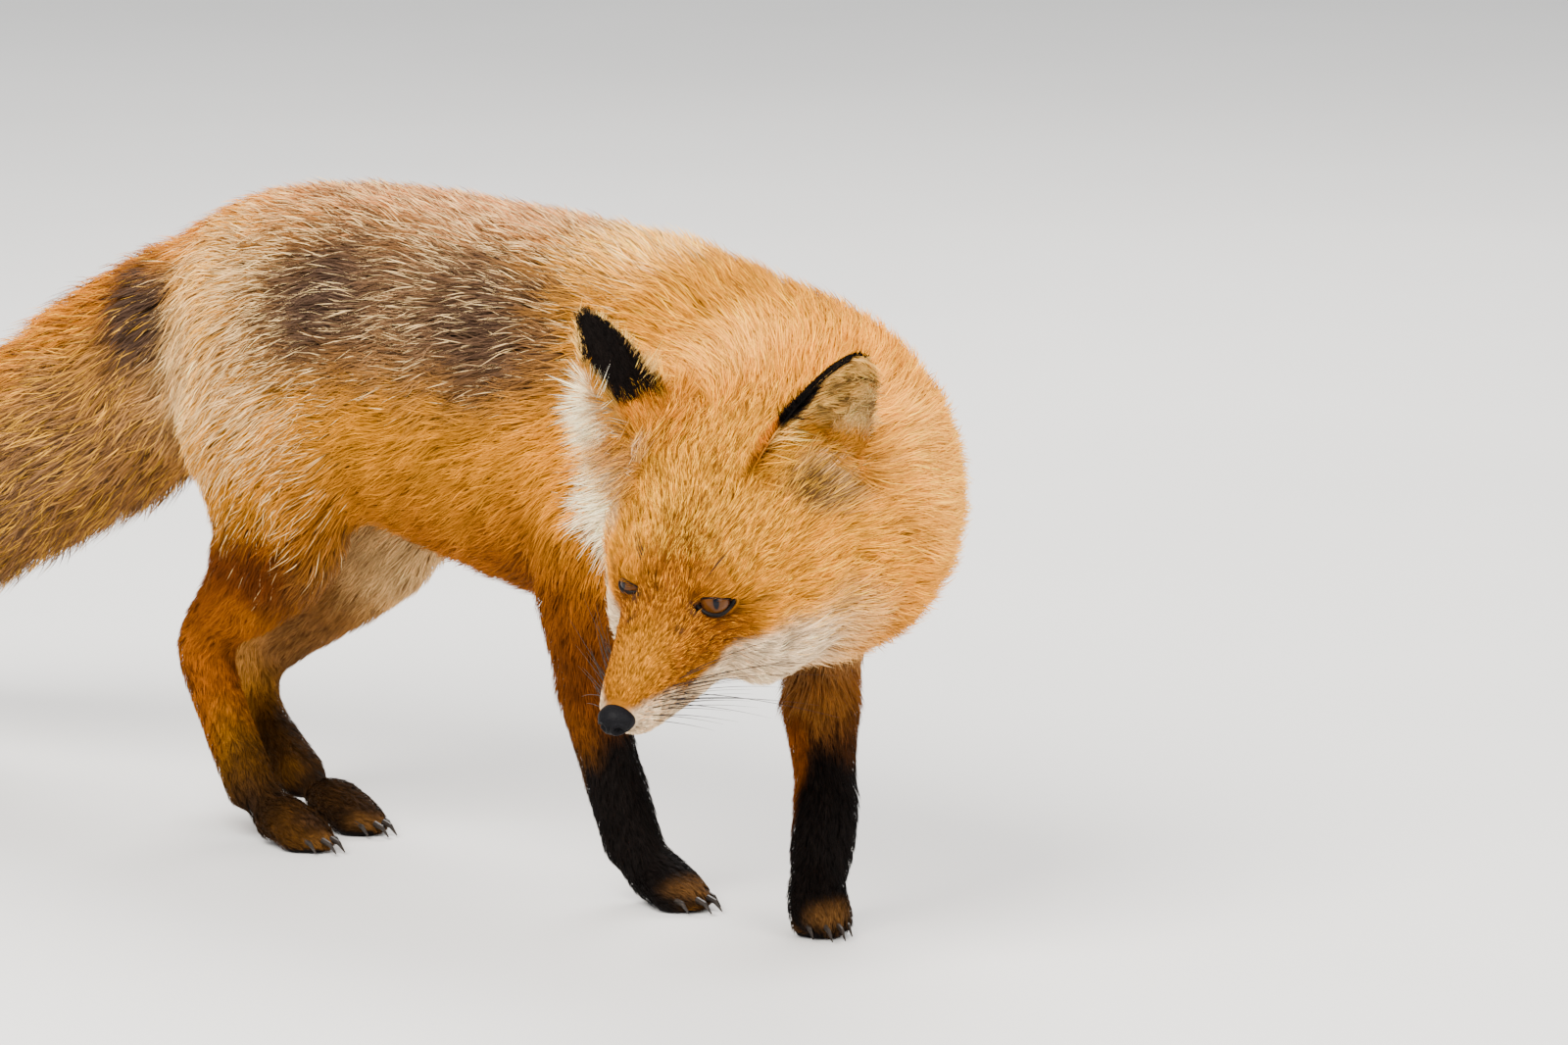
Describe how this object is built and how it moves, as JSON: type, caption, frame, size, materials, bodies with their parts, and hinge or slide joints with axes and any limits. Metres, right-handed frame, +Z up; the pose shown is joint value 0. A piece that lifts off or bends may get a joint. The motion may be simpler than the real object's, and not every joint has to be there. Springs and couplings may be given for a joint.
{
  "type": "red fox",
  "caption": "Life-size still model of a red fox in winter coat, walking slowly with its head turned down to its right.",
  "frame": {"origin": "on the floor, under the middle of the bounding box", "axes": "+X along the trunk from the tail to the chest, +Y to the animal's left, +Z up from the floor"},
  "size_m": [0.951, 0.2976, 0.3674],
  "materials": {
    "trunk_fur": "thick winter coat, grizzled on the back",
    "tail_fur": "long bushy coat with a white tip",
    "neck_fur": "long soft golden ruff",
    "head_fur": "short dense fur",
    "fore_right_fur": "short black fur",
    "fore_left_fur": "short black fur",
    "hind_right_fur": "short rusty fur with dark feet",
    "hind_left_fur": "short rusty fur with dark feet",
    "ear_right_fur": "velvety black fur behind",
    "ear_left_fur": "cream hair inside",
    "eye_glass": "wet amber-brown",
    "nose_leather": "moist, finely pebbled",
    "claw_horn": "satin horn"
  },
  "bodies": {
    "root": {"trunk": "trunk_fur", "tail": "tail_fur", "neck": "neck_fur", "head": "head_fur", "leg_fore_right": "fore_right_fur", "leg_fore_left": "fore_left_fur", "leg_hind_right": "hind_right_fur", "leg_hind_left": "hind_left_fur", "ear_right": "ear_right_fur", "ear_left": "ear_left_fur", "eye_right": "eye_glass", "eye_left": "eye_glass", "nose": "nose_leather", "claw_fore_right_1": "claw_horn", "claw_fore_right_2": "claw_horn", "claw_fore_right_3": "claw_horn", "claw_fore_right_4": "claw_horn", "claw_fore_left_1": "claw_horn", "claw_fore_left_2": "claw_horn", "claw_fore_left_3": "claw_horn", "claw_fore_left_4": "claw_horn", "claw_hind_right_1": "claw_horn", "claw_hind_right_2": "claw_horn", "claw_hind_right_3": "claw_horn", "claw_hind_right_4": "claw_horn", "claw_hind_left_1": "claw_horn", "claw_hind_left_2": "claw_horn", "claw_hind_left_3": "claw_horn", "claw_hind_left_4": "claw_horn"}
  },
  "joints": []
}
